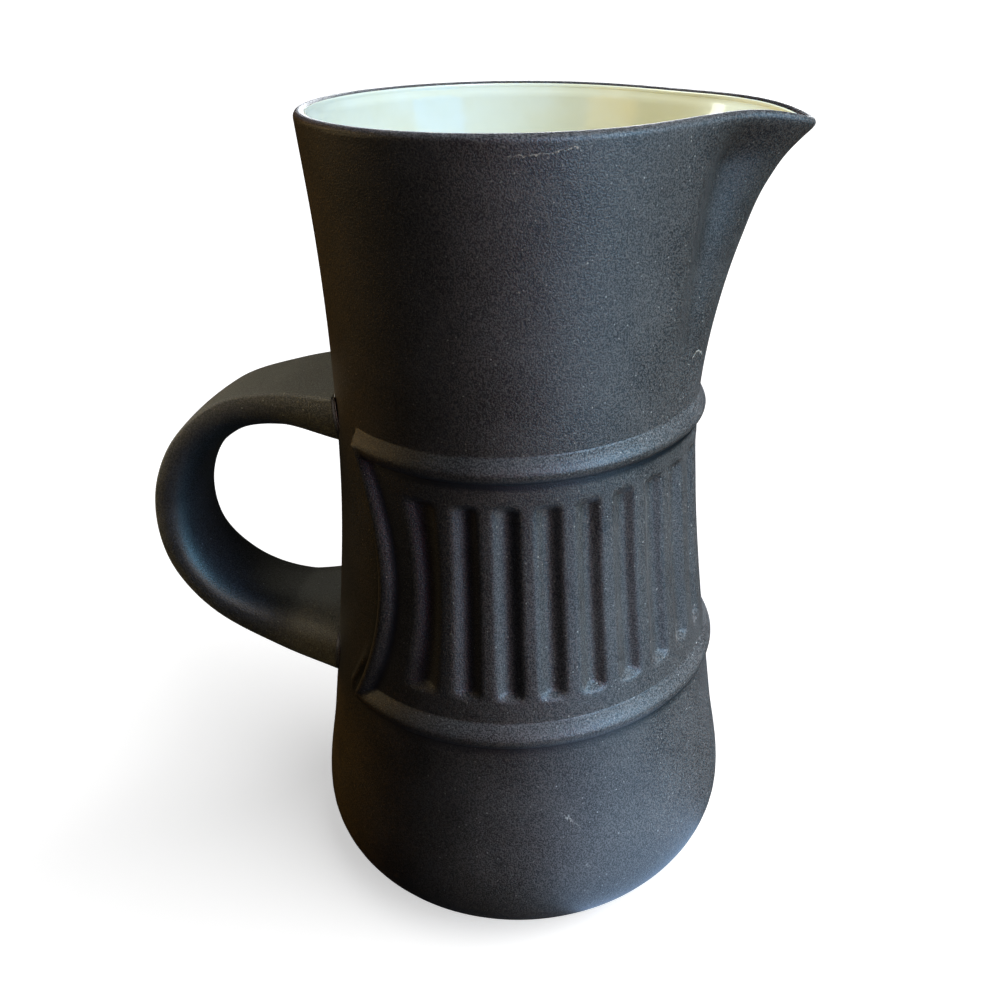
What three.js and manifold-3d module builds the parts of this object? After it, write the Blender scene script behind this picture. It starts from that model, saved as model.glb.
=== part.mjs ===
// A small stoneware creamer: a slip-cast body with a pulled spout and a fluted band, a strap handle
// luted on with slip at two joints, and a glaze lining on the inside. Millimetres, +Z up.
// The origin is the centre of the foot, the spout points along +X and the handle along -X.
import * as THREE from 'three';
import { mergeVertices } from 'three/addons/utils/BufferGeometryUtils.js';
import Module from 'manifold-3d';

// Body: outline, wall and lip
const height = 135;
const footRadius = 26;
const bellyRadius = 37.6;
const bellyHeight = 12.2;
const waistRadius = 29.6;
const waistHeight = 94;
const mouthRadius = 31.5;
const wall = 3;
const lip = 1.8;
const lipTaper = 12;
const lipCrown = 1;
const floor = 4;
const floorFillet = 13;

// How the wall runs from the belly in to the waist and from the waist out to the mouth,
// as pairs of shares: of the height between the two and of the change in radius.
const waistRun = [[0.193, 0.275], [0.462, 0.638], [0.731, 0.912]];
const mouthRun = [[0.537, 0.263]];

// Spout: how far its crest stands out of the round wall at the rim, how its lip falls at the tip
// and rises beside it, how broad it is, and how the wall is pinched in on both sides of it.
// Angles are in degrees from the spout's middle, and the pinch's drift in degrees a millimetre down.
// The pinch has a share of its depth at the rim, is deepest a little below and fades out at its drop.
const spoutReach = 14.4;
const spoutFall = 2.3;
const spoutFallSharpness = 3.2;
const spoutRise = 0.63;
const spoutRiseSpread = 32;
const spoutSpread = 11;
const spoutTipRound = 6.5;
const spoutRootRound = 26;
const spoutRootDrop = 55;
const spoutRun = [[0, 0], [0.3, 0.03], [0.53, 0.06], [0.67, 0.085], [0.77, 0.22], [0.86, 0.405], [0.93, 0.605],
  [0.962, 0.765], [0.98, 0.9], [0.99, 0.98], [1, 1]];
const spoutPinch = 2.8;
const spoutPinchAngle = 12.6;
const spoutPinchDrift = 0.22;
const spoutPinchSpread = 6.5;
const spoutPinchAtRim = 0.2;
const spoutPinchDeepest = 8;
const spoutPinchDrop = 60;
const rimShiftDrop = 35;

// Fluted band: two rails and two bowed end posts framing the flutes. The band climbs a little to the spout.
const bandBottom = 42.95;
const bandTop = 87.75;
const bandClimb = 0.6;
const railWidth = 4.2;
const railRelief = 1.25;
const railCrest = 0.42;
const railSlopePower = 1.5;
const postAngle = 122.4;
const postWidth = 6.2;
const postRelief = 1.6;
const postBow = 11;
const postBowReach = 26;
const fluteCount = 19;
const flutePitch = 12;
const fluteWidth = 9.2;
const fluteDepth = 1.1;
const fluteSquareness = 2.6;
const fluteMargin = 3.4;
const fluteEnd = 1.8;

// Strap handle: heights and reach of its outer face, and its widths and thicknesses. Its sides swell
// a little past the outer face, which is slightly crowned, and its inner side is a full round.
const handleTop = 91.3;
const handleBottom = 38.1;
const handleReach = 64.2;
const handleReachHeight = 67.2;
const strapTopWidth = 25.8;
const strapMiddleWidth = 13.3;
const strapBottomWidth = 25.4;
const strapTopThickness = 10.6;
const strapMiddleThickness = 6.7;
const strapBottomThickness = 10.3;
const strapSwell = 0.7;
const strapCrown = 0.3;
const strapWidest = 0.38;
const strapSquareness = 2.4;
const strapRoot = 4.5;

// Points that the outer face's line passes between the wall and its reach, as pairs of shares:
// of the way out, and of the way down or up to the height of the reach.
const upperLine = [[0.289, 0.052], [0.615, 0.197], [0.872, 0.53]];
const lowerLine = [[0.954, 0.593], [0.702, 0.257], [0.324, 0.054]];

// How much of an end's extra width and thickness is left on the way from the end, at 0, to the middle, at 1
const topFlare = [[0, 1], [0.24, 0.36], [0.6, -0.02], [1, 0]];
const bottomFlare = [[0, 1], [0.24, 0.37], [0.6, 0.2], [1, 0]];
const topThickening = [[0, 1], [0.24, 0.25], [0.6, -0.03], [1, 0]];
const bottomThickening = [[0, 1], [0.24, 0.66], [0.6, -0.06], [1, 0]];

// Slip at the joints, glaze on the inside, and the clearance that fitted pieces keep
const slip = 0.8;
const slipSqueeze = 0.5;
const glaze = 0.5;
const glazeMargin = 0.6;
const fitGap = 0.3;

const mix = THREE.MathUtils.lerp;
const clamp = THREE.MathUtils.clamp;
const rad = THREE.MathUtils.degToRad;

const wasm = await Module();
wasm.setup();

// A smooth curve through points with rising first values, level at the start if asked.
function smoothCurve(points, levelStart) {
  const last = points.length - 1;
  const steps = points.slice(1).map((point, i) => point[0] - points[i][0]);
  const rises = points.slice(1).map((point, i) => (point[1] - points[i][1]) / steps[i]);
  const slopes = points.map((point, i) => {
    if (i === 0) return levelStart ? 0 : rises[0];
    if (i === last) return rises[last - 1];
    return (rises[i - 1] * steps[i] + rises[i] * steps[i - 1]) / (steps[i - 1] + steps[i]);
  });
  return (at) => {
    let i = points.findIndex((point) => point[0] >= at) - 1;
    if (at <= points[0][0]) i = 0;
    if (at >= points[last][0]) i = last - 1;
    const t = clamp((at - points[i][0]) / steps[i], 0, 1);
    const u = 1 - t;
    return (1 + 2 * t) * u * u * points[i][1] + t * u * u * steps[i] * slopes[i]
      + t * t * (3 - 2 * t) * points[i + 1][1] - t * t * u * steps[i] * slopes[i + 1];
  };
}

function between(low, high, shares) {
  return shares.map(([along, across]) => [mix(low[0], high[0], along), mix(low[1], high[1], across)]);
}

// Radius of the plain round wall at a height, before the spout is pulled out of it.
const belly = [bellyHeight, bellyRadius];
const waist = [waistHeight, waistRadius];
const mouth = [height, mouthRadius];
const roundWall = smoothCurve(
  [belly, ...between(belly, waist, waistRun), waist, ...between(waist, mouth, mouthRun), mouth], true);

function wallRadius(z) {
  if (z >= bellyHeight) return roundWall(z);
  const below = 1 - Math.max(z, 0) / bellyHeight;
  return mix(footRadius, bellyRadius, Math.sqrt(1 - below * below));
}

// Share of the spout's reach at an angle: a crest with hollow flanks, sharp at the rim and soft lower down.
const spoutCrest = smoothCurve(between([0, 0], [height, spoutReach], spoutRun), true);

function spoutShare(angle, z) {
  const round = mix(spoutTipRound, spoutRootRound, clamp((height - z) / spoutRootDrop, 0, 1));
  return Math.exp((round - Math.hypot(angle, round)) / spoutSpread);
}

function spoutOffset(angle, z) {
  const below = height - z;
  const pinchAngle = spoutPinchAngle + spoutPinchDrift * below;
  const beside = Math.exp(-Math.pow((Math.abs(angle) - pinchAngle) / spoutPinchSpread, 2));
  const nearRim = clamp(1 - below / spoutPinchDrop, 0, 1);
  const depth = mix(spoutPinchAtRim, 1, THREE.MathUtils.smoothstep(below, 0, spoutPinchDeepest));
  return spoutCrest(z) * spoutShare(angle, z) - spoutPinch * beside * nearRim * depth;
}

// The rim rises a little towards the spout and falls at its tip, and the wall below follows.
function shiftedHeight(angle, z) {
  const rise = spoutRise * Math.exp(-Math.pow(angle / spoutRiseSpread, 2));
  const fall = spoutFall * Math.pow(spoutShare(angle, height), spoutFallSharpness);
  return z + (rise - fall) * clamp(1 - (height - z) / rimShiftDrop, 0, 1);
}

// The band's end posts bow towards its middle, and the grid of the wall beside them bows along.
function bowedAngle(angle, z) {
  const middle = (bandBottom + bandTop) / 2;
  const away = clamp((z - middle) / (bandTop - middle), -1, 1);
  const size = Math.abs(angle);
  const inside = THREE.MathUtils.smoothstep(size, postAngle - postBowReach, postAngle);
  const outside = (180 - size) / (180 - postAngle);
  return angle + Math.sign(angle) * postBow * away * away * (size < postAngle ? inside : outside);
}

// Section of a rail: a steep round side at its low end, then a long slope from its crest to the other end.
function railSection(offset, width) {
  const share = clamp(offset / width + 0.5, 0, 1);
  if (share < railCrest) return Math.sqrt(1 - Math.pow((railCrest - share) / railCrest, 2));
  return 1 - Math.pow((share - railCrest) / (1 - railCrest), railSlopePower);
}

// Relief of the rails and posts, and depth of the flutes, at a grid angle and a height.
function frameRelief(angle, z) {
  const size = Math.abs(angle);
  const onRail = size <= postAngle + postWidth / 2 ? 1 : 0;
  const rails = Math.max(railSection(z - bandBottom, railWidth), railSection(z - bandTop, railWidth));
  const inBand = z > bandBottom && z < bandTop ? 1 : 0;
  const posts = railSection(postAngle - size, postWidth) * inBand;
  return Math.max(railRelief * rails * onRail, postRelief * posts);
}

const fluteBottom = bandBottom + railWidth / 2 + fluteMargin;
const fluteTop = bandTop - railWidth / 2 - fluteMargin;

function fluteHollow(angle, z) {
  const nearest = Math.round(angle / flutePitch);
  if (Math.abs(nearest) > (fluteCount - 1) / 2) return 0;
  const across = clamp(Math.abs(angle - nearest * flutePitch) * 2 / fluteWidth, 0, 1);
  const toEnd = Math.min(z - fluteBottom, fluteTop - z);
  const depth = fluteDepth * (1 - Math.pow(Math.sin(across * Math.PI / 2), fluteSquareness));
  return depth * THREE.MathUtils.smoothstep(toEnd, 0, fluteEnd);
}

function polar(radius, angle, z) {
  return new THREE.Vector3(radius * Math.cos(rad(angle)), radius * Math.sin(rad(angle)), z);
}

// Height at which a row of the grid lies, with the band's climb, which fades out to the belly and to the rim.
function climbedHeight(angle, z) {
  const smooth = THREE.MathUtils.smoothstep;
  const share = smooth(z, bellyHeight, bandBottom) * (1 - smooth(z, bandTop + railWidth, height));
  const towardsSpout = Math.pow((1 + Math.cos(rad(angle))) / 2, 2);
  return z + bandClimb * towardsSpout * share;
}

function outerPoint(angle, z) {
  const turned = bowedAngle(angle, z);
  const level = climbedHeight(turned, z);
  const radius = wallRadius(level) + spoutOffset(turned, level) + frameRelief(angle, z) - fluteHollow(angle, z);
  return polar(radius, turned, shiftedHeight(turned, level));
}

// Radius of the smooth inside of the wall, which thins to the lip.
function innerRadius(angle, z) {
  const thickness = mix(lip, wall, clamp((height - z) / lipTaper, 0, 1));
  return wallRadius(z) + spoutOffset(angle, z) - thickness;
}

// Where the grid crosses a rail or a post: its edges, its steep side, its crest and its slope.
const railShares = [-0.5, -0.38, railCrest - 0.5, 0.2, 0.5];

// Where the grid crosses a flute: its edges and both sides of its floor.
const fluteShares = [-0.5, -0.18, 0.18, 0.5];

// The grid's angles: the edges and floors of the flutes, the posts, and the plain collar round the handle.
function gridAngles() {
  const angles = [];
  const lastFlute = (fluteCount - 1) / 2;
  for (let i = -lastFlute; i <= lastFlute; i += 1) {
    for (const share of fluteShares) angles.push(i * flutePitch + share * fluteWidth);
  }
  for (const share of railShares) {
    angles.push(postAngle - share * postWidth, -postAngle + share * postWidth);
  }
  const collarSteps = 14;
  const collarStart = postAngle + postWidth / 2;
  for (let i = 1; i < collarSteps; i += 1) {
    const angle = mix(collarStart, 360 - collarStart, i / collarSteps);
    angles.push(angle > 180 ? angle - 360 : angle);
  }
  return angles.sort((a, b) => a - b);
}

// A closed surface through rings of points, each ring with as many points, with a point at either end.
function skin(rings, first, last) {
  const count = rings[0].length;
  const points = [first, ...rings.flat(), last];
  const triangles = [];
  const index = (ring, i) => 1 + ring * count + (i % count);
  for (let i = 0; i < count; i += 1) {
    triangles.push(0, index(0, i + 1), index(0, i));
    for (let ring = 0; ring + 1 < rings.length; ring += 1) {
      triangles.push(index(ring, i), index(ring, i + 1), index(ring + 1, i + 1));
      triangles.push(index(ring, i), index(ring + 1, i + 1), index(ring + 1, i));
    }
    triangles.push(points.length - 1, index(rings.length - 1, i), index(rings.length - 1, i + 1));
  }
  const geometry = new THREE.BufferGeometry().setFromPoints(points);
  geometry.setIndex(triangles);
  return geometry;
}

function steps(from, to, count) {
  return Array.from({ length: count + 1 }, (_, i) => mix(from, to, i / count));
}

// Heights from the lip down to a level, close together at the rim where the spout curves most.
const lipBase = height - lipCrown;
const rimCrowding = 1.5;

function rimSteps(level, count) {
  return steps(0, 1, count).map((share) => mix(lipBase, level, Math.pow(share, rimCrowding)));
}

// Rings of the inside from the lip down to the floor, drawn in by an inset and raised off the floor by a lift.
function cavityRings(angles, topHeight, inset, lift) {
  const filletTop = floor + floorFillet;
  const heights = [topHeight, ...rimSteps(waistHeight, 6).slice(1), ...steps(waistHeight, filletTop, 4).slice(1)];
  const rings = heights.map((z) => angles.map(
    (angle) => polar(innerRadius(angle, z) - inset, angle, shiftedHeight(angle, z))));
  for (const turn of steps(0, 90, 4).slice(1)) {
    rings.push(angles.map((angle) => {
      const radius = innerRadius(angle, filletTop) - floorFillet * (1 - Math.cos(rad(turn)));
      const z = filletTop - floorFillet * Math.sin(rad(turn));
      return polar(radius - inset * Math.cos(rad(turn)), angle, z + lift * Math.sin(rad(turn)));
    }));
  }
  return rings;
}

function bodyGeometry() {
  const angles = gridAngles();
  const lipRadius = lip / 2;
  const railHeights = railShares.map((share) => share * railWidth);
  const footTurns = steps(0, 90, 5);
  const heights = [
    ...footTurns.map((turn) => bellyHeight * (1 - Math.cos(rad(turn)))),
    ...steps(bellyHeight, bandBottom - railWidth / 2, 4).slice(1, -1),
    ...railHeights.map((offset) => bandBottom + offset),
    ...steps(fluteBottom, fluteBottom + fluteEnd, 2),
    ...steps(fluteBottom + fluteEnd, fluteTop - fluteEnd, 4).slice(1, -1),
    ...steps(fluteTop - fluteEnd, fluteTop, 2),
    ...railHeights.map((offset) => bandTop + offset),
    ...rimSteps(bandTop + railWidth / 2, 9).slice(0, -1).reverse(),
  ];
  const outside = heights.map((z) => angles.map((angle) => outerPoint(angle, z)));
  const crown = [45, 90, 135].map((turn) => angles.map((angle) => {
    const z = lipBase + lipCrown * Math.sin(rad(turn));
    const radius = wallRadius(lipBase) + spoutOffset(angle, z) - lipRadius * (1 - Math.cos(rad(turn)));
    return polar(radius, angle, shiftedHeight(angle, z));
  }));
  const inside = cavityRings(angles, lipBase, 0, 0);
  return skin([...outside, ...crown, ...inside], new THREE.Vector3(), new THREE.Vector3(0, 0, floor));
}

// The lining keeps the fit gap to the wall and sits on the floor. Its grid is coarser away from the spout.
function glazeGeometry() {
  const angles = gridAngles().filter((angle, i) => Math.abs(angle) < 3 * flutePitch || i % 4 === 0);
  const top = lipBase - glazeMargin;
  const outside = cavityRings(angles, top, fitGap, 0).reverse();
  const inside = cavityRings(angles, top, fitGap + glaze, glaze);
  return skin([...outside, ...inside], new THREE.Vector3(0, 0, floor), new THREE.Vector3(0, 0, floor + glaze));
}

// The line of the strap's outer face leaves the wall, turns down at its reach and comes back to the wall.
function strapPath() {
  const topWall = wallRadius(handleTop);
  const bottomWall = wallRadius(handleBottom);
  const furthest = [handleReach, handleReachHeight];
  const line = [
    [topWall - strapRoot, handleTop],
    ...between([topWall, handleTop], furthest, upperLine),
    furthest,
    ...between([bottomWall, handleBottom], furthest, lowerLine),
    [bottomWall - strapRoot, handleBottom],
  ];
  return new THREE.CatmullRomCurve3(line.map(([out, z]) => new THREE.Vector3(-out, 0, z)));
}

const topWidening = smoothCurve(topFlare, false);
const bottomWidening = smoothCurve(bottomFlare, false);
const topSwelling = smoothCurve(topThickening, false);
const bottomSwelling = smoothCurve(bottomThickening, false);

function strapSize(t) {
  const toMiddle = 2 * Math.min(t, 1 - t);
  if (t < 0.5) {
    return {
      width: mix(strapMiddleWidth, strapTopWidth, topWidening(toMiddle)),
      thickness: mix(strapMiddleThickness, strapTopThickness, topSwelling(toMiddle)),
    };
  }
  return {
    width: mix(strapMiddleWidth, strapBottomWidth, bottomWidening(toMiddle)),
    thickness: mix(strapMiddleThickness, strapBottomThickness, bottomSwelling(toMiddle)),
  };
}

// Section of the strap as pairs across it and out of the loop: the outer face, then the sides and the round.
function strapSection({ width, thickness }, grow) {
  const face = width / 2 + grow;
  const half = face + strapSwell;
  const widest = -thickness * strapWidest;
  const depth = thickness * (1 - strapWidest) + grow;
  const power = 2 / strapSquareness;
  const round = [200, 220, 240, 270, 300, 320, 340].map((turn) => [
    half * Math.sign(Math.cos(rad(turn))) * Math.pow(Math.abs(Math.cos(rad(turn))), power),
    widest - depth * Math.pow(-Math.sin(rad(turn)), power),
  ]);
  return [[half, widest], [face, grow], [0, grow + strapCrown], [-face, grow], [-half, widest], ...round];
}

function strapGeometry(from, to, count, grow) {
  const path = strapPath();
  const at = (t, across, out) => {
    const tangent = path.getTangent(t);
    return path.getPoint(t).add(new THREE.Vector3(tangent.z * out, -across, -tangent.x * out));
  };
  const rings = steps(from, to, count).map((t) => (
    strapSection(strapSize(t), grow).map(([across, out]) => at(t, across, out))));
  const middle = (t) => at(t, 0, -strapSize(t).thickness / 2);
  return skin(rings, middle(from), middle(to));
}

// The round wall as a full solid, grown outward by a distance, to trim what meets it.
function wallSolid(grow) {
  const outline = steps(bellyHeight, height, 24).map((z) => new THREE.Vector2(wallRadius(z) + grow, z));
  const profile = [new THREE.Vector2(0, bellyHeight), ...outline, new THREE.Vector2(0, height)];
  return solid(new THREE.LatheGeometry(profile, 72).rotateX(Math.PI / 2));
}

function solid(geometry) {
  const bare = geometry.clone();
  bare.deleteAttribute('normal');
  bare.deleteAttribute('uv');
  const merged = mergeVertices(bare, 1e-4);
  return new wasm.Manifold(new wasm.Mesh({
    numProp: 3,
    vertProperties: new Float32Array(merged.attributes.position.array),
    triVerts: new Uint32Array(merged.index.array),
  }));
}

function geometryOf(manifold) {
  const mesh = manifold.getMesh();
  const geometry = new THREE.BufferGeometry();
  geometry.setAttribute('position', new THREE.BufferAttribute(new Float32Array(mesh.vertProperties), 3));
  geometry.setIndex(Array.from(mesh.triVerts));
  return geometry;
}

// The strap stops short of the slip by the fit gap, and the slip stops short of the wall.
const strapSteps = 34;
const jointShare = 0.16;

function handleGeometry() {
  return geometryOf(solid(strapGeometry(0, 1, strapSteps, 0)).subtract(wallSolid(slip + 2 * fitGap)));
}

function slipGeometry(from, to) {
  const block = solid(strapGeometry(from, to, Math.ceil(strapSteps * jointShare), slipSqueeze));
  return geometryOf(block.intersect(wallSolid(slip + fitGap)).subtract(wallSolid(fitGap)));
}

function piece(name, geometry, color, roughness) {
  geometry.computeVertexNormals();
  const mesh = new THREE.Mesh(geometry, new THREE.MeshStandardMaterial({ color, roughness, metalness: 0 }));
  mesh.name = name;
  return mesh;
}

const stoneware = 0x1d1e22;
const firedSlip = 0x232327;
const creamGlaze = 0xe9ebdd;

const creamer = new THREE.Group();
creamer.name = 'creamer';
creamer.add(
  piece('body', bodyGeometry(), stoneware, 0.8),
  piece('inner_glaze', glazeGeometry(), creamGlaze, 0.15),
  piece('handle', handleGeometry(), stoneware, 0.8),
  piece('upper_handle_joint', slipGeometry(0, jointShare), firedSlip, 0.85),
  piece('lower_handle_joint', slipGeometry(1 - jointShare, 1), firedSlip, 0.85),
);

export default creamer;
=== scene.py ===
import math

import bpy
import bmesh
import numpy as np
from mathutils import Matrix, Vector


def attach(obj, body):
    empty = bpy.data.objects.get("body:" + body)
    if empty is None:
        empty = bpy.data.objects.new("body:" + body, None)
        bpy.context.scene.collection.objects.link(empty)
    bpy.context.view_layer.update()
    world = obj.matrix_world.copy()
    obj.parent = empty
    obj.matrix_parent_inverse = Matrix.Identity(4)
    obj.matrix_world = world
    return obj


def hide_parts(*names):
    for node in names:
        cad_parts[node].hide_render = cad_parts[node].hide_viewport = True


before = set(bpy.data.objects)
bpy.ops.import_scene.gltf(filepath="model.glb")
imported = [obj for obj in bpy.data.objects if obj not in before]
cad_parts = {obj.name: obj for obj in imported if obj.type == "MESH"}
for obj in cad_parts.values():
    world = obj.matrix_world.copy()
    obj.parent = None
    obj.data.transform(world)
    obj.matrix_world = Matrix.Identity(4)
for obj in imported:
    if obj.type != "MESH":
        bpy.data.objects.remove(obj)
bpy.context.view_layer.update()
mm = 0.001  # shapes are worked out in millimetres, Blender gets metres
weldDistance = 1e-7  # metres
print("frame loaded:", sorted(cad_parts))


# small helpers

def mix(low, high, share):
    return low + (high - low) * share


def smoothStep(low, high, value):
    share = np.clip((value - low) / (high - low), 0, 1)
    return share * share * (3 - 2 * share)


def smoothCurve(points, levelStart=False):
    # curve through points with rising first values, slopes from the neighbours
    at, value = np.array(points, float).T
    step = np.diff(at)
    rise = np.diff(value) / step
    slope = np.empty(len(at))
    slope[0] = 0 if levelStart else rise[0]
    slope[-1] = rise[-1]
    slope[1:-1] = (rise[:-1] * step[1:] + rise[1:] * step[:-1]) / (step[:-1] + step[1:])

    def curve(where):
        where = np.clip(where, at[0], at[-1])
        i = np.clip(np.searchsorted(at, where) - 1, 0, len(step) - 1)
        t = (where - at[i]) / step[i]
        u = 1 - t
        ends = (1 + 2 * t) * u * u * value[i] + t * t * (3 - 2 * t) * value[i + 1]
        return ends + t * u * step[i] * (u * slope[i] - t * slope[i + 1])
    return curve


def between(low, high, shares):
    return [(mix(low[0], high[0], a), mix(low[1], high[1], b)) for a, b in shares]


def fromAxis(points):
    return np.hypot(points[:, 0], points[:, 1])


def deselect():
    if bpy.context.object and bpy.context.object.mode != "OBJECT":
        bpy.ops.object.mode_set(mode="OBJECT")
    bpy.ops.object.select_all(action="DESELECT")


def startOutline(name, point):
    # one vertex to draw an outline from, taken from a plane primitive
    deselect()
    bpy.ops.mesh.primitive_plane_add(size=1)
    piece = bpy.context.object
    piece.name = piece.data.name = name
    bpy.ops.object.mode_set(mode="EDIT")
    bpy.ops.mesh.merge(type="CENTER")
    bpy.ops.transform.translate(value=point)
    return piece


def drawOutline(points):
    for start, end in zip(points, points[1:]):
        move = [b - a for a, b in zip(start, end)]
        bpy.ops.mesh.extrude_region_move(TRANSFORM_OT_translate={"value": move})


def weldAll():
    bpy.ops.mesh.select_all(action="SELECT")
    bpy.ops.mesh.remove_doubles(threshold=weldDistance)
    bpy.ops.mesh.normals_make_consistent(inside=False)
    bpy.ops.object.mode_set(mode="OBJECT")


def latheOutline(name, outline, steps):
    # the half section is drawn in the XZ plane and spun round the axis
    points = [(radius * mm, 0, z * mm) for radius, z in outline]
    piece = startOutline(name, points[0])
    drawOutline(points)
    bpy.ops.mesh.select_all(action="SELECT")
    bpy.ops.mesh.spin(steps=steps, angle=math.tau, center=(0, 0, 0), axis=(0, 0, 1))
    weldAll()
    return piece


def startRing(name, points):
    deselect()
    bpy.ops.mesh.primitive_circle_add(vertices=len(points), radius=1)
    piece = bpy.context.object
    piece.name = piece.data.name = name
    setPoints(piece, points)
    bpy.ops.object.mode_set(mode="EDIT")
    bpy.ops.mesh.select_all(action="SELECT")
    return piece


def pushRing(piece, points):
    # extrudes the open ring and sets the new one on its points
    bpy.ops.mesh.extrude_region_move()
    mesh = bmesh.from_edit_mesh(piece.data)
    mesh.verts.ensure_lookup_table()
    for vertex, point in zip(mesh.verts[-len(points):], points):
        vertex.co = [value * mm for value in point]
    bmesh.update_edit_mesh(piece.data)


def meshPoints(piece):
    points = np.empty(len(piece.data.vertices) * 3, np.float32)
    piece.data.vertices.foreach_get("co", points)
    return points.reshape(-1, 3).astype(float) / mm


def setPoints(piece, points):
    piece.data.vertices.foreach_set("co", (points * mm).astype(np.float32).ravel())
    piece.data.update()


def setValues(piece, name, values):
    attribute = piece.data.attributes.new(name, "FLOAT", "POINT")
    attribute.data.foreach_set("value", values.astype(np.float32))


def finishPiece(piece, node, material):
    bpy.ops.object.shade_smooth()
    piece.data.materials.clear()
    piece.data.materials.append(material)
    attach(piece, "root")
    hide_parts(node)
    print(piece.name, "done:", len(piece.data.polygons), "faces")
    return piece


# jug: the wall's outline, the spout, the band. Lengths in millimetres, angles in degrees from the spout
jug = {
    "height": 135, "footRadius": 26, "bellyRadius": 37.6, "bellyHeight": 12.2,
    "waistRadius": 29.6, "waistHeight": 94, "mouthRadius": 31.5,
    "wall": 3, "lip": 1.8, "lipTaper": 12, "crown": 1.0, "floor": 4, "floorFillet": 13,
    "waistRun": [(0.193, 0.275), (0.462, 0.638), (0.731, 0.912)],
    "mouthRun": [(0.537, 0.263)],
    "aroundSteps": 420, "closerAtSpout": 0.32, "closerAtRim": 1.4,
    "footRing": 0.5, "footSteps": 15, "bellySteps": 16, "mouthSteps": 42, "lipSteps": 15,
    "insideSteps": 30, "filletSteps": 9, "floorRings": (0.66, 0.33, 0), "faceTolerance": 0.02,
}
spout = {
    "reach": 14.4, "fall": 2.3, "fallSharpness": 3.2, "rise": 0.63, "riseSpread": 32,
    "spread": 11, "tipRound": 6.5, "rootRound": 26, "rootDrop": 55, "rimShiftDrop": 35,
    "run": [(0, 0), (0.3, 0.03), (0.53, 0.06), (0.67, 0.085), (0.77, 0.22), (0.86, 0.405),
            (0.93, 0.605), (0.962, 0.765), (0.98, 0.9), (0.99, 0.98), (1, 1)],
    "pinch": 2.8, "pinchAngle": 12.6, "pinchDrift": 0.22, "pinchSpread": 6.5,
    "pinchAtRim": 0.2, "pinchDeepest": 8, "pinchDrop": 48,
    # the next three place painted shade in the valleys beside the spout: where, how wide and how dark
    "valleySide": 0.5, "valleyWidth": 1.5, "valleyShade": 0.45,
}
band = {
    "bottom": 42.95, "top": 87.75, "climb": 0.6,
    "railWidth": 4.2, "railRelief": 1.25, "railCrest": 0.42, "railSlope": 1.5,
    "postAngle": 122.4, "postWidth": 6.2, "postRelief": 1.6, "postBow": 11, "bowReach": 26,
    "fluteCount": 19, "flutePitch": 12, "fluteWidth": 9.2, "fluteDepth": 1.1,
    "fluteSquareness": 2.6, "fluteMargin": 3.4, "fluteEnd": 1.8,
    "spurAngles": (8.6, 5.4), "spurTop": 9.5, "spurWidth": 3.4, "spurRelief": 0.4,
    "spurStart": -0.3, "spurFade": 0.5,
    # the next two shape the painted shade under the rails and beside the posts
    "creaseStep": 1.3, "creaseFull": 0.5,
    "edge": 0.15, "railSteps": 11, "marginSteps": 5, "fluteEndSteps": 8, "fluteSteps": 20,
}

belly = (jug["bellyHeight"], jug["bellyRadius"])
waist = (jug["waistHeight"], jug["waistRadius"])
mouth = (jug["height"], jug["mouthRadius"])
roundWall = smoothCurve([belly, *between(belly, waist, jug["waistRun"]), waist,
                         *between(waist, mouth, jug["mouthRun"]), mouth], True)
spoutCrest = smoothCurve(between((0, 0), (jug["height"], spout["reach"]), spout["run"]), True)
lipBase = jug["height"] - jug["crown"]
fluteBottom = band["bottom"] + band["railWidth"] / 2 + band["fluteMargin"]
fluteTop = band["top"] - band["railWidth"] / 2 - band["fluteMargin"]


def wallRadius(z):
    below = 1 - np.clip(z / jug["bellyHeight"], 0, 1)
    low = mix(jug["footRadius"], jug["bellyRadius"], np.sqrt(1 - below * below))
    return np.where(z < jug["bellyHeight"], low, roundWall(z))


def spoutShare(angle, z):
    soft = np.clip((jug["height"] - z) / spout["rootDrop"], 0, 1)
    roundness = mix(spout["tipRound"], spout["rootRound"], soft)
    return np.exp((roundness - np.hypot(angle, roundness)) / spout["spread"])


def pinch(angle, z, aside=0, wider=1):
    # share of the pinch on both sides of the spout
    below = jug["height"] - z
    pinchAngle = spout["pinchAngle"] + spout["pinchDrift"] * below + aside
    beside = np.exp(-((np.abs(angle) - pinchAngle) / (spout["pinchSpread"] * wider)) ** 2)
    near = np.clip(1 - below / spout["pinchDrop"], 0, 1)
    return beside * near * mix(spout["pinchAtRim"], 1, smoothStep(0, spout["pinchDeepest"], below))


def spoutOffset(angle, z):
    return spoutCrest(z) * spoutShare(angle, z) - spout["pinch"] * pinch(angle, z)


def shiftedHeight(angle, z):
    # the rim rises a little beside the spout and falls at its tip
    rise = spout["rise"] * np.exp(-(angle / spout["riseSpread"]) ** 2)
    fall = spout["fall"] * spoutShare(angle, jug["height"]) ** spout["fallSharpness"]
    return z + (rise - fall) * np.clip(1 - (jug["height"] - z) / spout["rimShiftDrop"], 0, 1)


def climbedHeight(angle, z):
    # the band stands a little higher towards the spout
    low = smoothStep(jug["bellyHeight"], band["bottom"], z)
    high = smoothStep(band["top"] + band["railWidth"], jug["height"], z)
    towardsSpout = ((1 + np.cos(np.radians(angle))) / 2) ** 2
    return z + band["climb"] * towardsSpout * low * (1 - high)


def bowedAngle(angle, z):
    # the end posts bow towards the band's middle, and what is beside them follows
    middle = (band["bottom"] + band["top"]) / 2
    away = np.clip((z - middle) / (band["top"] - middle), -1, 1)
    size = np.abs(angle)
    inside = smoothStep(band["postAngle"] - band["bowReach"], band["postAngle"], size)
    outside = (180 - size) / (180 - band["postAngle"])
    share = np.where(size < band["postAngle"], inside, outside)
    return angle + np.sign(angle) * band["postBow"] * away * away * share


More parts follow.
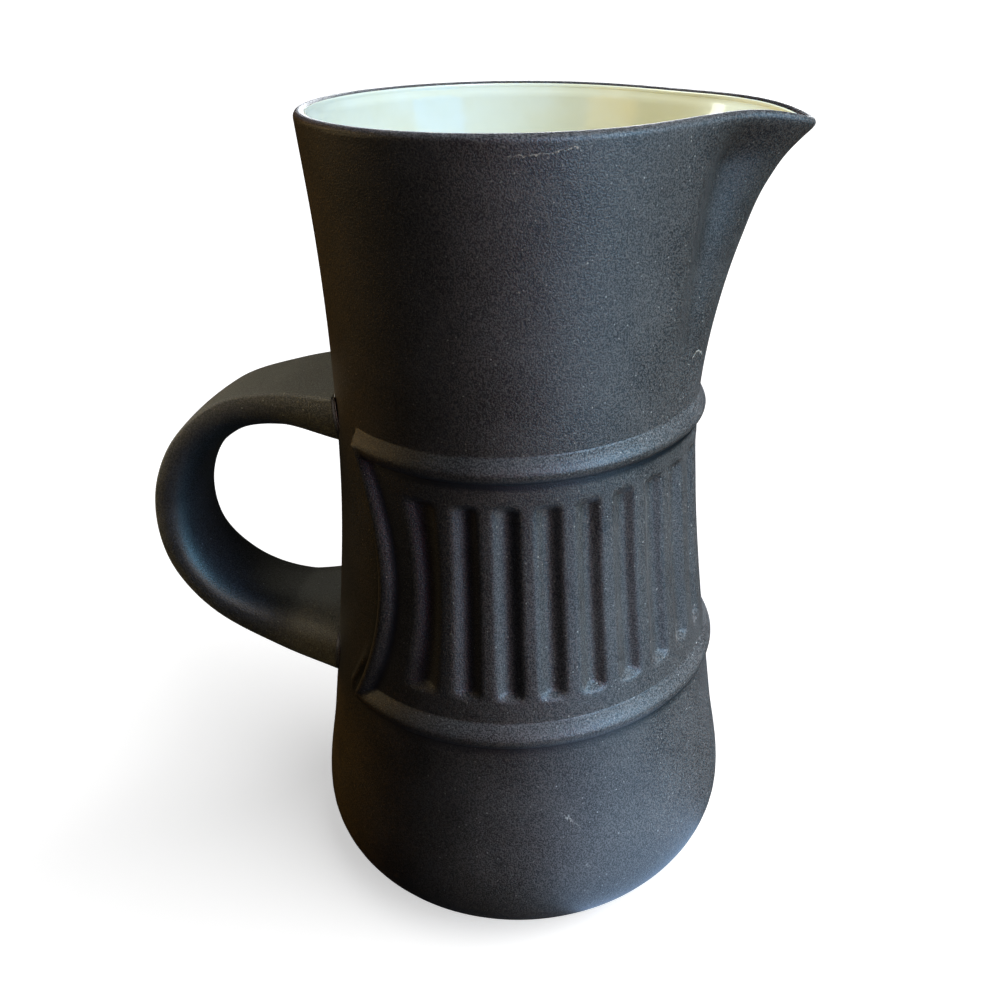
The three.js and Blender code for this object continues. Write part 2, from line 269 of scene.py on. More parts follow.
def roll(offset, width):
    # a rail's section: a steep round side at the low end, a long slope up to the other
    share = np.clip(offset / width + 0.5, 0, 1)
    crest = band["railCrest"]
    steep = np.sqrt(np.clip(1 - ((crest - share) / crest) ** 2, 0, 1))
    slope = 1 - np.clip((share - crest) / (1 - crest), 0, 1) ** band["railSlope"]
    return np.where(share < crest, steep, slope)


def frameRelief(angle, z):
    # rails and posts, and a faint spur outside the lower end of each post
    size = np.abs(angle)
    onRail = size <= band["postAngle"] + band["postWidth"] / 2
    rails = np.maximum(*(roll(z - band[rail], band["railWidth"]) for rail in ("bottom", "top")))
    inBand = (z > band["bottom"]) & (z < band["top"])
    posts = roll(band["postAngle"] - size, band["postWidth"]) * inBand
    up = (z - band["bottom"]) / band["spurTop"]
    beside = size - band["postAngle"] - mix(*band["spurAngles"], up)
    spur = np.clip(1 - (2 * beside / band["spurWidth"]) ** 2, 0, 1)
    spur *= smoothStep(band["spurStart"], 0, up) * (1 - smoothStep(band["spurFade"], 1, up))
    framing = np.maximum(band["railRelief"] * rails * onRail, band["postRelief"] * posts)
    return np.maximum(framing, band["spurRelief"] * spur)


def fluteHollow(angle, z):
    outermost = (band["fluteCount"] - 1) / 2
    nearest = np.clip(np.round(angle / band["flutePitch"]), -outermost, outermost)
    across = np.clip(np.abs(angle - nearest * band["flutePitch"]) * 2 / band["fluteWidth"], 0, 1)
    ends = smoothStep(0, band["fluteEnd"], np.minimum(z - fluteBottom, fluteTop - z))
    return band["fluteDepth"] * (1 - np.sin(np.pi / 2 * across) ** band["fluteSquareness"]) * ends


def paintedCreaseShade(angle, z):
    # painted shade under the rails, beside the posts and in the valleys beside the spout, where shade falls
    step = band["creaseStep"]
    turn = np.degrees(step / jug["waistRadius"])
    here = frameRelief(angle, z)
    above = frameRelief(angle, z + step) - here
    beside = (frameRelief(angle + turn, z) + frameRelief(angle - turn, z)) / 2 - here
    crease = np.clip(np.maximum(above, beside) / band["creaseFull"], 0, 1)
    valley = pinch(angle, z, spout["valleySide"], spout["valleyWidth"])
    return np.maximum(crease, spout["valleyShade"] * valley)


def railStops(middle, stepsAfter):
    # heights where a rail's section turns, each with the number of rings up to the next
    start, end = middle - band["railWidth"] / 2, middle + band["railWidth"] / 2
    crest = start + band["railWidth"] * band["railCrest"]
    return [(start - band["edge"], 1), (start, band["railSteps"]), (crest, band["railSteps"]),
            (end, 1), (end + band["edge"], stepsAfter)]


def wallLevels():
    # heights of the rings, close together where the relief and the rim curve
    turns = np.radians(np.linspace(0, 90, jug["footSteps"])[:-1])
    rows = list(jug["bellyHeight"] * (1 - np.cos(turns)))
    stops = [(jug["bellyHeight"], jug["bellySteps"]),
             *railStops(band["bottom"], band["marginSteps"]),
             (fluteBottom, band["fluteEndSteps"]),
             (fluteBottom + band["fluteEnd"], band["fluteSteps"]),
             (fluteTop - band["fluteEnd"], band["fluteEndSteps"]),
             (fluteTop, band["marginSteps"]),
             *railStops(band["top"], jug["mouthSteps"])]
    for stop, after in zip(stops, stops[1:]):
        rows += list(np.linspace(stop[0], after[0], stop[1], endpoint=False))
    bandEnd, mouthSteps = stops[-1]
    rows += list(mix(lipBase, bandEnd, np.linspace(1, 0, mouthSteps) ** jug["closerAtRim"]))
    return np.array(rows)


def wallThickness(z):
    return mix(jug["lip"], jug["wall"], np.clip((jug["height"] - z) / jug["lipTaper"], 0, 1))


def lipPoints(start, end, count, grow=0):
    # round crown of the lip, from the outer side at 0 to the inner side at 180
    half = jug["lip"] / 2
    turns = np.radians(np.linspace(start, end, count))
    radius = float(wallRadius(lipBase)) - half + (half + grow) * np.cos(turns)
    return list(zip(radius, lipBase + (jug["crown"] + grow) * np.sin(turns)))


def insidePoints(inset, wallSteps, filletSteps):
    # from just under the lip down the inside and over the fillet to the axis
    filletTop = jug["floor"] + jug["floorFillet"]
    z = mix(lipBase, filletTop, np.linspace(0, 1, wallSteps)[1:] ** jug["closerAtRim"])
    points = list(zip(wallRadius(z) - wallThickness(z) - inset, z))
    turns = np.radians(np.linspace(0, 90, filletSteps)[1:])
    inner = wallRadius(filletTop) - jug["wall"] - jug["floorFillet"]
    reach = jug["floorFillet"] - inset
    points += list(zip(inner + reach * np.cos(turns), filletTop - reach * np.sin(turns)))
    edge, bottom = points[-1]
    return points + [(edge * share, bottom) for share in jug["floorRings"]]


def spunAngle(points):
    # angle round the axis, with the steps drawn closer together at the spout
    angle = np.degrees(np.arctan2(points[:, 1], points[:, 0]))
    return angle - jug["closerAtSpout"] * np.degrees(np.sin(np.radians(angle)))


def onOuterFace(points):
    return fromAxis(points) > wallRadius(points[:, 2]) - jug["faceTolerance"]


def pull(points, relief):
    # pulls the spout out of the round wall and raises the band's relief on its outer face
    angle, radius, z = spunAngle(points), fromAxis(points), points[:, 2]
    onWall = onOuterFace(points) & (z < lipBase + jug["faceTolerance"]) & relief
    turned = np.where(onWall, bowedAngle(angle, z), angle)
    level = np.where(onWall, climbedHeight(turned, z), z)
    height = np.clip(level, 0, jug["height"])
    outer = wallRadius(level) + frameRelief(angle, z) - fluteHollow(angle, z)
    radius = np.where(onWall, outer, radius)
    share = np.clip(radius / np.maximum(wallRadius(z) - jug["wall"], 1), 0, 1)
    radius = radius + spoutOffset(turned, height) * share
    turn = np.radians(turned)
    return np.stack([radius * np.cos(turn), radius * np.sin(turn), shiftedHeight(turned, level)], 1)


def makeJug(material):
    rows = wallLevels()
    outline = [(0, 0), (jug["footRadius"] * jug["footRing"], 0)]
    outline += list(zip(wallRadius(rows), rows))
    outline += lipPoints(0, 180, jug["lipSteps"])[1:]
    outline += insidePoints(0, jug["insideSteps"], jug["filletSteps"])
    piece = latheOutline("jug_body", outline, jug["aroundSteps"])
    spun = meshPoints(piece)
    setPoints(piece, pull(spun, True))
    # the crease attribute holds painted shade for the clay's colour
    setValues(piece, "crease", paintedCreaseShade(spunAngle(spun), spun[:, 2]) * onOuterFace(spun))
    return finishPiece(piece, "body", material)


# glaze lining: sits on the inside, thins out to nothing over the lip's inner edge
lining = {
    "thickness": 0.35, "edgeTurn": 138, "edgeSink": 0.02, "lipShare": 0.6, "backing": 0.15,
    "aroundSteps": 256, "lipSteps": 9, "insideSteps": 44, "filletSteps": 12,
}


def liningRow(lipGrow, inset):
    lip = lipPoints(lining["edgeTurn"], 180, lining["lipSteps"], lipGrow)
    return lip + insidePoints(inset, lining["insideSteps"], lining["filletSteps"])


def makeGlaze(material):
    # the edge starts under the lip's face, the back lies in the clay
    edge = liningRow(-lining["edgeSink"], 0)[:1]
    face = liningRow(lining["thickness"] * lining["lipShare"], lining["thickness"])[2:]
    back = liningRow(-lining["backing"], -lining["backing"])
    piece = latheOutline("inner_glaze", (edge + face)[::-1] + back, lining["aroundSteps"])
    setPoints(piece, pull(meshPoints(piece), False))
    return finishPiece(piece, "inner_glaze", material)


# strap handle, luted on at two joints
strap = {
    "top": 91.3, "bottom": 38.1, "reach": 64.2, "reachHeight": 67.2, "rootDepth": 2.5,
    "upperLine": [(0.289, 0.052), (0.615, 0.197), (0.872, 0.53)],
    "lowerLine": [(0.954, 0.593), (0.702, 0.257), (0.324, 0.054)],
    "topWidth": 25.8, "middleWidth": 13.3, "bottomWidth": 25.4,
    "topFlare": [(0, 1), (0.24, 0.36), (0.6, -0.02), (1, 0)],
    "bottomFlare": [(0, 1), (0.24, 0.37), (0.6, 0.2), (1, 0)],
    "topThickness": 10.6, "middleThickness": 6.7, "bottomThickness": 10.3,
    "topSwell": [(0, 1), (0.24, 0.25), (0.6, -0.03), (1, 0)],
    "bottomSwell": [(0, 1), (0.24, 0.66), (0.6, -0.06), (1, 0)],
    "swell": 0.7, "widest": 0.38, "squareness": 2.4, "crown": 0.3, "crease": 0.3,
    "rings": 150, "bevelSteps": 6, "underSteps": 32, "faceSteps": 14,
    "endCuts": 2, "tangentStep": 0.0001,
}
strapSpread = {key: smoothCurve(strap[key])
               for key in ("topFlare", "bottomFlare", "topSwell", "bottomSwell")}


def strapLine():
    # line of the strap's outer face
    topWall = float(wallRadius(strap["top"]))
    bottomWall = float(wallRadius(strap["bottom"]))
    reach = (strap["reach"], strap["reachHeight"])
    upper = between((topWall, strap["top"]), reach, strap["upperLine"])
    lower = between((bottomWall, strap["bottom"]), reach, strap["lowerLine"])
    return np.array([(topWall - strap["rootDepth"], strap["top"]), *upper, reach,
                     *lower, (bottomWall - strap["rootDepth"], strap["bottom"])])


def strapCurve(shares):
    # centripetal curve through the line's points, as distance from the axis and height
    line = strapLine()
    line = np.vstack([2 * line[0] - line[1], line, 2 * line[-1] - line[-2]])
    knots = np.concatenate([[0], np.cumsum(np.linalg.norm(np.diff(line, axis=0), axis=1) ** 0.5)])
    spans = len(line) - 3
    where = shares * spans
    i = np.minimum(where.astype(int), spans - 1)
    t0, t1, t2, t3 = (knots[i + k][:, None] for k in range(4))
    p0, p1, p2, p3 = (line[i + k] for k in range(4))
    t = t1 + (where - i)[:, None] * (t2 - t1)
    a1 = ((t1 - t) * p0 + (t - t0) * p1) / (t1 - t0)
    a2 = ((t2 - t) * p1 + (t - t1) * p2) / (t2 - t1)
    a3 = ((t3 - t) * p2 + (t - t2) * p3) / (t3 - t2)
    b1 = ((t2 - t) * a1 + (t - t0) * a2) / (t2 - t0)
    b2 = ((t3 - t) * a2 + (t - t1) * a3) / (t3 - t1)
    return ((t2 - t) * b1 + (t - t1) * b2) / (t2 - t1)


def strapSection(width, thickness, grow):
    # flat outer face with creased edges, sides that swell a little, a full round inner side
    face = width / 2 + grow
    half = face + strap["swell"]
    widest = thickness * strap["widest"]
    bevel = np.linspace(0, 1, strap["bevelSteps"])
    side = np.stack([mix(face, half, np.sin(bevel * np.pi / 2)), mix(grow, -widest, bevel)], 1)
    turns = np.linspace(0, np.pi, strap["underSteps"])[1:-1]
    power = 2 / strap["squareness"]
    under = np.stack([half * np.sign(np.cos(turns)) * np.abs(np.cos(turns)) ** power,
                      -widest - (thickness + grow - widest) * np.sin(turns) ** power], 1)
    inner = face - strap["crease"]
    across = np.linspace(-inner, inner, strap["faceSteps"])
    top = np.stack([across, grow + strap["crown"] * (1 - (across / face) ** 2)], 1)
    return np.concatenate([side, under, side[::-1] * (-1, 1), top])


def strapRing(share, grow=0):
    near = share + strap["tangentStep"] * np.array([-1, 0, 1])
    before, centre, after = strapCurve(np.clip(near, 0, 1))
    along = (after - before) / np.linalg.norm(after - before)
    outward = np.array([-along[1], along[0]])
    end = "top" if share < 0.5 else "bottom"
    toMiddle = 2 * min(share, 1 - share)
    flare = strapSpread[end + "Flare"](toMiddle)
    swell = strapSpread[end + "Swell"](toMiddle)
    width = mix(strap["middleWidth"], strap[end + "Width"], flare)
    thickness = mix(strap["middleThickness"], strap[end + "Thickness"], swell)
    section = strapSection(width, thickness, grow)
    place = centre + section[:, 1:] * outward
    return np.stack([-place[:, 0], section[:, 0], place[:, 1]], 1)


def makeHandle(material):
    shares = np.linspace(0, 1, strap["rings"])
    piece = startRing("strap_handle", strapRing(shares[0]))
    bpy.ops.mesh.edge_face_add()
    bpy.ops.mesh.select_all(action="SELECT")
    for share in shares[1:]:
        pushRing(piece, strapRing(share))
    # the end faces are split up, to follow the wall's curve
    bpy.ops.mesh.select_all(action="DESELECT")
    bpy.ops.mesh.select_face_by_sides(number=4, type="GREATER", extend=False)
    bpy.ops.mesh.poke()
    bpy.ops.mesh.subdivide(number_cuts=strap["endCuts"])
    weldAll()
    # the roots end inside the wall's thickness
    points = meshPoints(piece)
    least = wallRadius(points[:, 2]) - strap["rootDepth"]
    points[:, :2] *= np.maximum(least / fromAxis(points), 1)[:, None]
    setPoints(piece, points)
    return finishPiece(piece, "handle", material)


# luted joints: a thin bead of slip round each root of the strap
lute = {
    "fillet": 0.12, "arcSteps": 7, "sink": 0.5, "wallSink": 0.03, "strapSink": 0.05,
    "upperSpan": (0.0, 0.2), "lowerSpan": (1.0, 0.8),  # shares of the strap's line that hold the seam
    "sharePerLength": 0.0105,  # share of the strap's line in one millimetre
    "halvings": 26,
}


def strapPoints(shares, grow):
    # one point of each line along the strap, at its own share
    return np.array([strapRing(share, grow)[i] for i, share in enumerate(shares)])


def wallCrossing(span, grow):
    # for each line along the strap, the share at which it meets the wall
    low, high = (np.full(len(strapRing(end, grow)), end) for end in span)
    for halving in range(lute["halvings"]):
        middle = (low + high) / 2
        points = strapPoints(middle, grow)
        out = fromAxis(points) > wallRadius(points[:, 2])
        low, high = np.where(out, low, middle), np.where(out, middle, high)
    return (low + high) / 2


def sunk(points, depth):
    deeper = points.copy()
    deeper[:, :2] *= 1 - depth / fromAxis(points)[:, None]
    return deeper


def makeJoint(name, node, span, material):
    fillet, skin = lute["fillet"], -lute["strapSink"]
    seam = wallCrossing(span, skin)
    step = lute["sharePerLength"] * fillet * np.sign(span[1] - span[0])
    corner = strapPoints(seam, skin)
    onStrap = strapPoints(seam + step, skin)
    onWall = sunk(strapPoints(wallCrossing(span, fillet), fillet), lute["wallSink"])
    root = sunk(corner, lute["sink"])
    piece = startRing(name, root)
    for t in np.linspace(0, 1, lute["arcSteps"]):
        pushRing(piece, (1 - t) ** 2 * onStrap + 2 * t * (1 - t) * corner + t * t * onWall)
    pushRing(piece, root)
    weldAll()
    return finishPiece(piece, node, material)


# materials

def addNode(tree, kind, inputs=None, **values):
    node = tree.nodes.new(kind)
    for name, value in values.items():
        setattr(node, name, value)
    for name, value in (inputs or {}).items():
        if hasattr(value, "is_output"):
            tree.links.new(value, node.inputs[name])
        else:
            node.inputs[name].default_value = value
    return node


def newMaterial(name):
    material = bpy.data.materials.new(name)
    material.use_nodes = True
    tree = material.node_tree
    shader = tree.nodes["Principled BSDF"]
    place = addNode(tree, "ShaderNodeTexCoord").outputs["Object"]
    return material, tree, shader, place


def noise(tree, place, pattern, output="Fac"):
    scale, detail, roughness = pattern
    node = addNode(tree, "ShaderNodeTexNoise", {
        "Vector": place, "Scale": scale, "Detail": detail, "Roughness": roughness})
    return node.outputs[output]


def ramp(tree, value, low, high, toLow=0.0, toHigh=1.0):
    node = addNode(tree, "ShaderNodeMapRange", {
        "Value": value, "From Min": low, "From Max": high, "To Min": toLow, "To Max": toHigh})
    return node.outputs["Result"]


def math2(tree, operation, a, b):
    return addNode(tree, "ShaderNodeMath", {0: a, 1: b}, operation=operation).outputs[0]


def vector2(tree, operation, a, b, output="Vector"):
    return addNode(tree, "ShaderNodeVectorMath", {0: a, 1: b}, operation=operation).outputs[output]


def mixColour(tree, share, a, b):
    node = addNode(tree, "ShaderNodeMix", {0: share, 6: a, 7: b}, data_type="RGBA")
    return node.outputs[2]


def addBump(tree, shader, height, strength, distance):
    bump = addNode(tree, "ShaderNodeBump", {
        "Strength": strength, "Distance": distance * mm, "Height": height})
    tree.links.new(bump.outputs["Normal"], shader.inputs["Normal"])


# noise patterns are scale, detail and roughness, ranges are from low, from high, to low, to high
clay = {
    "dark": (0.008, 0.008, 0.009, 1), "light": (0.088, 0.088, 0.0915, 1),
    "grain": (4000, 2, 0.6), "grainTone": (0.42, 0.6, 0, 0.85),
    "grainBump": 0.7, "grainHeight": 0.1,
    "mottle": (110, 4, 0.6), "mottleTone": (0.35, 0.7, 0, 0.15), "mottleRoughness": (0.3, 0.7, 0.44, 0.54),
    # the crease colour is black painted shade, mixed in by the crease attribute
    "creaseShadeColour": (0, 0, 0, 1), "creaseShadeStrength": 0.95,
}
specks = {
    "colour": (0.3, 0.31, 0.32, 1), "strength": (0.15, 0.9), "fullShare": 0.7, "fullSize": 0.5,
    "fine": {"scale": 1700, "share": 0.12, "size": 0.28},
    "large": {"scale": 520, "share": 0.025, "size": 0.08},
}
# wear on the wall: pale scratches and scuffs as width, strength, then points as angle and height
wear = {
    "colour": (0.62, 0.62, 0.6, 1), "radius": 31,  # wall's radius that turns an angle into a length
    "shake": (900, 2, 0.5), "shakeSize": 1.2, "gaps": (2600, 2, 0.5), "gapRange": (0.36, 0.6),
    "marks": [
        (0.16, 0.5, [(-80.6, 132.2), (-75.0, 132.4), (-71.8, 132.4),
                     (-68.8, 132.8), (-65.3, 133.0), (-63.3, 132.7)]),
        (0.12, 0.3, [(-132.3, 85.4), (-129.0, 85.9), (-126.6, 85.6),
                     (-123.3, 83.9), (-122.1, 83.7), (-119.5, 84.7)]),
        (0.3, 0.5, [(-16.2, 98.4), (-14.6, 99.1), (-13.1, 99.3), (-10.8, 98.2)]),
        (0.3, 0.3, [(-18.2, 97.8), (-17.6, 97.4)]),
        (0.22, 0.4, [(-71.1, 28.0), (-69.6, 26.9), (-69.2, 27.6), (-68.8, 26.4)]),
        (0.25, 0.2, [(-69.4, 27.4), (-66.5, 24.8)]),
        (0.5, 0.16, [(-65.0, 17.6), (-64.4, 17.2)]),
        (0.5, 0.16, [(-24.9, 74.1), (-25.7, 65.2)]),
        (0.5, 0.08, [(-37.3, 78.6), (-37.9, 66.4)]),
        (0.6, 0.14, [(-25.1, 52.0), (-25.3, 50.2)]),
    ],
}


def speckle(tree, place, scale, share, size):
    # dots in a few of the cells of a cell pattern
    cells = addNode(tree, "ShaderNodeTexVoronoi", {"Vector": place, "Scale": scale, "Randomness": 1.0})
    chance = addNode(tree, "ShaderNodeSeparateColor", {"Color": cells.outputs["Color"]})
    picked = ramp(tree, chance.outputs["Red"], 1 - share, 1 - share * specks["fullShare"])
    dot = ramp(tree, cells.outputs["Distance"], size, size * specks["fullSize"])
    strength = ramp(tree, chance.outputs["Green"], 0, 1, *specks["strength"])
    return math2(tree, "MULTIPLY", math2(tree, "MULTIPLY", picked, dot), strength)


def strokeDistance(tree, wall, line):
    # distance to the nearest stretch of a stroke's line
    points = [Vector((math.radians(angle) * wear["radius"] * mm, z * mm, 0)) for angle, z in line]
    nearest = 1.0
    for start, end in zip(points, points[1:]):
        run = end - start
        offset = vector2(tree, "SUBTRACT", wall, start)
        along = vector2(tree, "DOT_PRODUCT", offset, run / run.length_squared, "Value")
        along = addNode(tree, "ShaderNodeClamp", {0: along}).outputs[0]
        foot = addNode(tree, "ShaderNodeVectorMath", {0: run, "Scale": along}, operation="SCALE").outputs[0]
        nearest = math2(tree, "MINIMUM", nearest, vector2(tree, "DISTANCE", offset, foot, "Value"))
    return nearest


def wearMarks(tree, place):
    # strokes on the unrolled wall, with a little wobble and gaps
    axes = addNode(tree, "ShaderNodeSeparateXYZ", {0: place}).outputs
    turn = math2(tree, "ARCTAN2", axes["Y"], axes["X"])
    turn = math2(tree, "MULTIPLY", turn, wear["radius"] * mm)
    wall = addNode(tree, "ShaderNodeCombineXYZ", {"X": turn, "Y": axes["Z"]}).outputs[0]
    shake = vector2(tree, "SUBTRACT", noise(tree, place, wear["shake"], "Color"), (0.5, 0.5, 0.5))
    shakeSize = wear["shakeSize"] * mm
    wall = vector2(tree, "ADD", wall, vector2(tree, "MULTIPLY", shake, (shakeSize, shakeSize, 0)))
    total = 0.0
    for width, strength, line in wear["marks"]:
        nearest = strokeDistance(tree, wall, line)
        stroke = ramp(tree, nearest, width * mm / 2, width * mm / 4, 0, strength)
        total = math2(tree, "MAXIMUM", total, stroke)
    return math2(tree, "MULTIPLY", total, ramp(tree, noise(tree, place, wear["gaps"]), *wear["gapRange"]))


def clayMaterial(name, wornAndShaded=False):
    material, tree, shader, place = newMaterial(name)
    grain = noise(tree, place, clay["grain"])
    mottle = noise(tree, place, clay["mottle"])
    tone = math2(tree, "ADD", ramp(tree, grain, *clay["grainTone"]), ramp(tree, mottle, *clay["mottleTone"]))
    colour = mixColour(tree, tone, clay["dark"], clay["light"])
    fine = speckle(tree, place, **specks["fine"])
    large = speckle(tree, place, **specks["large"])
    colour = mixColour(tree, math2(tree, "MAXIMUM", fine, large), colour, specks["colour"])
    if wornAndShaded:
        # painted shade: black mixed in under the rails, beside the posts and in the spout's valleys; the
        # wear marks after it are real scratches and scuffs
        crease = addNode(tree, "ShaderNodeAttribute", attribute_name="crease").outputs["Fac"]
        crease = math2(tree, "MULTIPLY", crease, clay["creaseShadeStrength"])
        colour = mixColour(tree, crease, colour, clay["creaseShadeColour"])
        colour = mixColour(tree, wearMarks(tree, place), colour, wear["colour"])
    tree.links.new(colour, shader.inputs["Base Color"])
    tree.links.new(ramp(tree, mottle, *clay["mottleRoughness"]), shader.inputs["Roughness"])
    addBump(tree, shader, grain, clay["grainBump"], clay["grainHeight"])
    return material


glazeLook = {
    "cream": (0.72, 0.69, 0.49, 1), "pale": (0.74, 0.73, 0.57, 1), "roughness": 0.12,
    "cloud": (90, 3, 0.5), "cloudRange": (0.35, 0.65),
    "wave": (160, 2, 0.5), "waveBump": 0.25, "waveHeight": 0.3,
}


def glazeMaterial():
    material, tree, shader, place = newMaterial("cream_glaze")
    cloud = ramp(tree, noise(tree, place, glazeLook["cloud"]), *glazeLook["cloudRange"])
    colour = mixColour(tree, cloud, glazeLook["cream"], glazeLook["pale"])
    tree.links.new(colour, shader.inputs["Base Color"])
    shader.inputs["Roughness"].default_value = glazeLook["roughness"]
    wave = noise(tree, place, glazeLook["wave"])
    addBump(tree, shader, wave, glazeLook["waveBump"], glazeLook["waveHeight"])
    return material


# floor, light and camera
studio = {
    "floorSize": 12, "floorWhite": (0.9, 0.9, 0.9, 1), "floorGlow": 0.62, "floorDim": (0.02, 0.015, 0.01, 1),
    "skyWhite": (1, 1, 1, 1), "skyDim": (0.003, 0.0025, 0.002, 1), "sunSpread": 34,
}
# soft suns, each for some of the pieces, some for the matt part of the light or for the gleam alone
clayLights = {
    "high_key": {"azimuth": 25, "lift": 60, "power": 7.2, "colour": (1.0, 0.91, 0.945), "gleam": False},
    "cool_key": {"azimuth": 5, "lift": 35, "power": 3.08, "colour": (0.06, 0.66, 1.0), "gleam": False},
    "low_key": {"azimuth": -15, "lift": 8, "power": 4.07, "colour": (1.0, 0.835, 0.604), "gleam": False},
    "window_gleam": {"azimuth": -35, "lift": 8, "power": 7.1, "colour": (0.352, 0.69, 1.0), "matt": False},
    "front_gleam": {"azimuth": -55, "lift": 8, "power": 0.9, "colour": (1.0, 0.0, 0.0), "matt": False},
    "back_warm": {"azimuth": 150, "lift": 8, "power": 2.2, "colour": (1.0, 0.44, 0.03), "gleam": False},
    "back_fill": {"azimuth": 95, "lift": 10, "power": 3.4, "colour": (0.9, 0.95, 1.0)},
    "back_gleam": {"azimuth": 180, "lift": 8, "power": 0.7, "colour": (1.0, 0.78, 0.44), "matt": False},
}
handleLights = {
    "handle_back": {"azimuth": 180, "lift": 8, "power": 3.46, "colour": (1.0, 0.69, 0.2), "gleam": False},
    "handle_sheen": {"azimuth": 150, "lift": 40, "power": 0.9, "colour": (1.0, 0.98, 0.805),
                     "spread": 80, "matt": False},
    "handle_edge": {"azimuth": 180, "lift": 8, "power": 1.95, "colour": (1.0, 0.93, 0.757),
                    "spread": 60, "matt": False},
    "handle_key": {"azimuth": -15, "lift": 45, "power": 3.0, "colour": (0.385, 0.53, 1.0), "gleam": False},
    "handle_front": {"azimuth": -75, "lift": 8, "power": 1.63, "colour": (1.0, 0.855, 0.75), "matt": False},
    "handle_window": {"azimuth": -35, "lift": 8, "power": 5.6, "colour": (0.284, 0.68, 1.0), "matt": False},
}
glazeLights = {
    "glaze_warm": {"azimuth": -55, "lift": 60, "power": 1.7, "colour": (1.0, 0.87, 0.0)},
    "glaze_cool": {"azimuth": -35, "lift": 60, "power": 6.1, "colour": (0.395, 0.564, 1.0)},
    "glaze_back": {"azimuth": 150, "lift": 40, "power": 1.9, "colour": (0.99, 1.0, 0.89)},
    "glaze_left": {"azimuth": -150, "lift": 8, "power": 0.62, "colour": (1.0, 0.645, 0.15)},
    "glaze_low": {"azimuth": -35, "lift": 8, "power": 1.08, "colour": (0.0, 0.356, 1.0)},
}
floorLights = {
    "floor_soft": {"azimuth": -6, "lift": 40, "power": 3.8, "colour": (1, 1, 1), "spread": 80},
}
# light that the table throws back up at the right of the foot
bounce = {"place": (44, -38, 0.8), "size": 60, "power": 0.018, "colour": (0.42, 0.65, 1.0)}


def makeFloor():
    # white to the camera, near black to the light, so that it throws little back on the jug
    deselect()
    bpy.ops.mesh.primitive_plane_add(size=studio["floorSize"])
    floor = bpy.context.object
    floor.name = "floor"
    material = bpy.data.materials.new("pale_floor")
    material.use_nodes = True
    tree = material.node_tree
    tree.nodes.remove(tree.nodes["Principled BSDF"])
    path = addNode(tree, "ShaderNodeLightPath").outputs
    seen = addNode(tree, "ShaderNodeBsdfDiffuse", {"Color": studio["floorWhite"]})
    glow = addNode(tree, "ShaderNodeEmission", {
        "Color": studio["floorWhite"], "Strength": studio["floorGlow"]})
    bright = addNode(tree, "ShaderNodeAddShader", {0: seen.outputs[0], 1: glow.outputs[0]})
    dim = addNode(tree, "ShaderNodeBsdfDiffuse", {"Color": studio["floorDim"]})
    both = addNode(tree, "ShaderNodeMixShader", {
        0: path["Is Camera Ray"], 1: dim.outputs[0], 2: bright.outputs[0]})
    tree.links.new(both.outputs[0], tree.nodes["Material Output"].inputs["Surface"])
    floor.data.materials.append(material)
    return floor


def setLight(light, name, power, colour, pieces):
    light.name = name
    light.data.energy = power
    light.data.color = colour
    lit = bpy.data.collections.new(name + "_lit")
    for piece in pieces:
        lit.objects.link(piece)
    light.light_linking.receiver_collection = lit


def addSuns(lights, pieces):
    for name, light in lights.items():
        turn, lift = math.radians(light["azimuth"]), math.radians(light["lift"])
        bpy.ops.object.light_add(type="SUN", rotation=(0, math.pi / 2 - lift, turn))
        sun = bpy.context.object
        setLight(sun, name, light["power"], light["colour"], pieces)
        sun.data.angle = math.radians(light.get("spread", studio["sunSpread"]))
        sun.visible_diffuse = light.get("matt", True)
        sun.visible_glossy = light.get("gleam", True)


def addBounce(pieces):
    place = [value * mm for value in bounce["place"]]
    bpy.ops.object.light_add(type="AREA", location=place, rotation=(math.pi, 0, 0))
    lamp = bpy.context.object
    setLight(lamp, "table_bounce", bounce["power"], bounce["colour"], pieces)
    lamp.data.shape = "DISK"
    lamp.data.size = bounce["size"] * mm


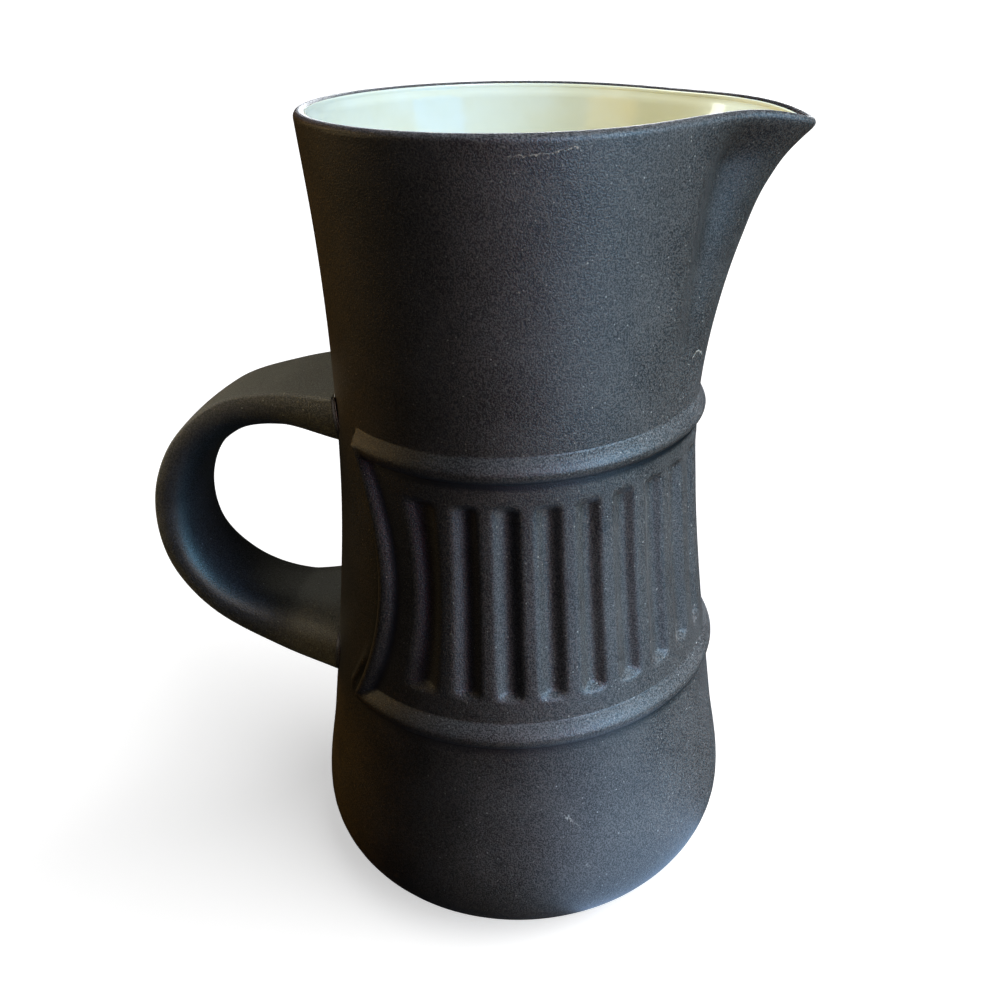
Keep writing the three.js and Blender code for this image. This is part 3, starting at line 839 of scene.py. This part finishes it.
def makeSky():
    world = bpy.data.worlds.new("studio")
    bpy.context.scene.world = world
    world.use_nodes = True
    tree = world.node_tree
    path = addNode(tree, "ShaderNodeLightPath").outputs
    colour = mixColour(tree, path["Is Camera Ray"], studio["skyDim"], studio["skyWhite"])
    tree.links.new(colour, tree.nodes["Background"].inputs["Color"])


# camera as fitted to the photograph: place in millimetres, angles in degrees, frame in pixels
view = {
    "distance": 165.59, "height": 154.72, "turn": 9.5, "pitch": 25.055, "yaw": 2.898, "roll": 0.351,
    "focal": 1055.3, "frame": 1000, "centre": (565, 450), "sensor": 36, "clip": (0.01, 50),
}


def rotation(degrees, axis):
    return Matrix.Rotation(math.radians(degrees), 4, axis)


def makeCamera():
    bpy.ops.object.camera_add()
    camera = bpy.context.object
    lens = camera.data
    lens.sensor_width = view["sensor"]
    lens.lens = view["focal"] / view["frame"] * view["sensor"]
    lens.shift_x = 0.5 - view["centre"][0] / view["frame"]
    lens.shift_y = view["centre"][1] / view["frame"] - 0.5
    lens.clip_start, lens.clip_end = view["clip"]
    place = Matrix.Translation((0, -view["distance"] * mm, view["height"] * mm))
    aim = rotation(-view["yaw"], "Z") @ rotation(90 - view["pitch"], "X") @ rotation(-view["roll"], "Z")
    camera.matrix_world = rotation(view["turn"], "Z") @ place @ aim
    bpy.context.scene.camera = camera


stoneware = clayMaterial("bare_stoneware")
# the jug's clay has real wear marks and painted shade in its creases
jugBody = makeJug(clayMaterial("worn_and_shaded_stoneware", True))
glaze = makeGlaze(glazeMaterial())
handle = makeHandle(stoneware)
upperJoint = makeJoint("upper_joint_slip", "upper_handle_joint", lute["upperSpan"], stoneware)
lowerJoint = makeJoint("lower_joint_slip", "lower_handle_joint", lute["lowerSpan"], stoneware)

floor = makeFloor()
makeSky()
addSuns(clayLights, [jugBody, upperJoint, lowerJoint])
addSuns(handleLights, [handle, upperJoint, lowerJoint])
addSuns(glazeLights, [glaze])
addSuns(floorLights, [floor])
addBounce([jugBody])
makeCamera()
bpy.context.scene.view_settings.view_transform = "Standard"
print("stage, light and camera done")
